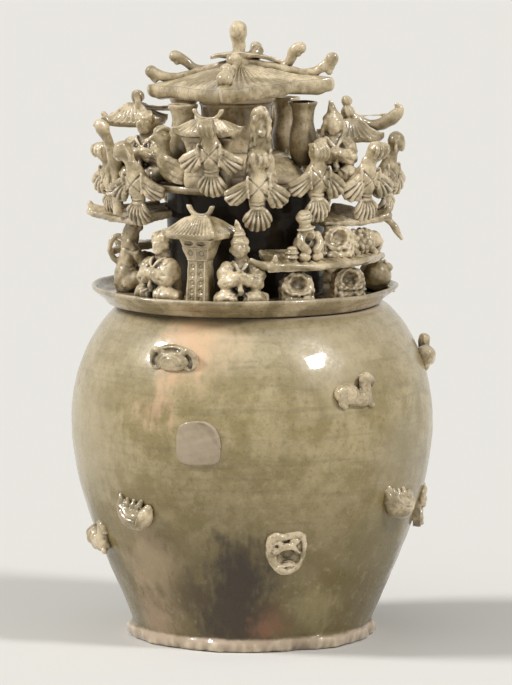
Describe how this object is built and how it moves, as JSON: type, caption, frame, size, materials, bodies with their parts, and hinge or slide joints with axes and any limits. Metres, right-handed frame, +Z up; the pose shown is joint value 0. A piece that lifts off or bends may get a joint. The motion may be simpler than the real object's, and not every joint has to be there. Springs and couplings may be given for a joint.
{
  "type": "funerary jar",
  "caption": "Tall glazed stoneware funerary jar whose shoulder carries a gallery of moulded figures, birds and tiled gate towers, under a roof-shaped lid.",
  "frame": {"origin": "centre of the flat underside of the foot", "axes": "+Z up along the body's axis, -Y towards the side seen in the picture, +X to its right"},
  "size_m": [0.276, 0.276, 0.4699],
  "materials": {
    "body_glaze": "glossy grey-green glaze",
    "tray_glaze": "glossy grey-green glaze",
    "wall_glaze": "glossy glaze, pooled dark",
    "figure_glaze": "glossy pale grey-green glaze",
    "bird_glaze": "glossy pale grey-green glaze",
    "roof_glaze": "glossy grey-green glaze",
    "sprig_glaze": "glossy grey-green glaze"
  },
  "bodies": {
    "jar": {"jar_body": "body_glaze", "gallery_tray": "tray_glaze", "lower_drum": "wall_glaze", "upper_ledge": "tray_glaze", "upper_vessel": "body_glaze", "small_jar_1": "body_glaze", "small_jar_2": "body_glaze", "small_jar_3": "body_glaze", "small_jar_4": "body_glaze", "gate_pillar_front": "figure_glaze", "gate_roof_front": "roof_glaze", "gate_tower_back": "figure_glaze", "tower_front": "figure_glaze", "tower_roof_front": "roof_glaze", "tower_back": "figure_glaze", "gallery_roof_right": "roof_glaze", "gallery_roof_back": "roof_glaze", "side_roof_right": "roof_glaze", "side_roof_left": "roof_glaze", "pavilion_right": "roof_glaze", "pavilion_left": "roof_glaze", "seated_figure_1": "figure_glaze", "seated_figure_2": "figure_glaze", "seated_figure_3": "figure_glaze", "seated_figure_4": "figure_glaze", "niche_figure_1": "figure_glaze", "niche_figure_2": "figure_glaze", "niche_figure_3": "figure_glaze", "niche_figure_4": "figure_glaze", "climbing_bear": "figure_glaze", "twin_beasts": "figure_glaze", "ball_bearer": "figure_glaze", "niche_figure_5": "figure_glaze", "maned_beast": "figure_glaze", "upper_figure_right": "figure_glaze", "upper_figure_left": "figure_glaze", "hooded_panel": "figure_glaze", "bird_1": "bird_glaze", "bird_2": "bird_glaze", "bird_3": "bird_glaze", "bird_4": "bird_glaze", "bird_5": "bird_glaze", "bird_6": "bird_glaze", "bird_7": "bird_glaze", "bird_8": "bird_glaze", "bird_9": "bird_glaze", "bird_10": "bird_glaze", "perched_bird_1": "bird_glaze", "perched_bird_2": "bird_glaze", "crab_sprig": "sprig_glaze", "beast_sprig_1": "sprig_glaze", "fish_sprig_1": "sprig_glaze", "mask_sprig_1": "sprig_glaze", "fish_sprig_2": "sprig_glaze", "beast_sprig_2": "sprig_glaze", "mask_sprig_2": "sprig_glaze", "beast_sprig_3": "sprig_glaze"},
    "lid": {"lid_roof": "roof_glaze", "lid_ridges": "roof_glaze", "lid_bird": "bird_glaze"}
  },
  "joints": [
    {"name": "lid_lift", "type": "slide", "parent": "jar", "child": "lid", "axis": [0, 0, 1], "range_m": [0, 0.1]}
  ]
}
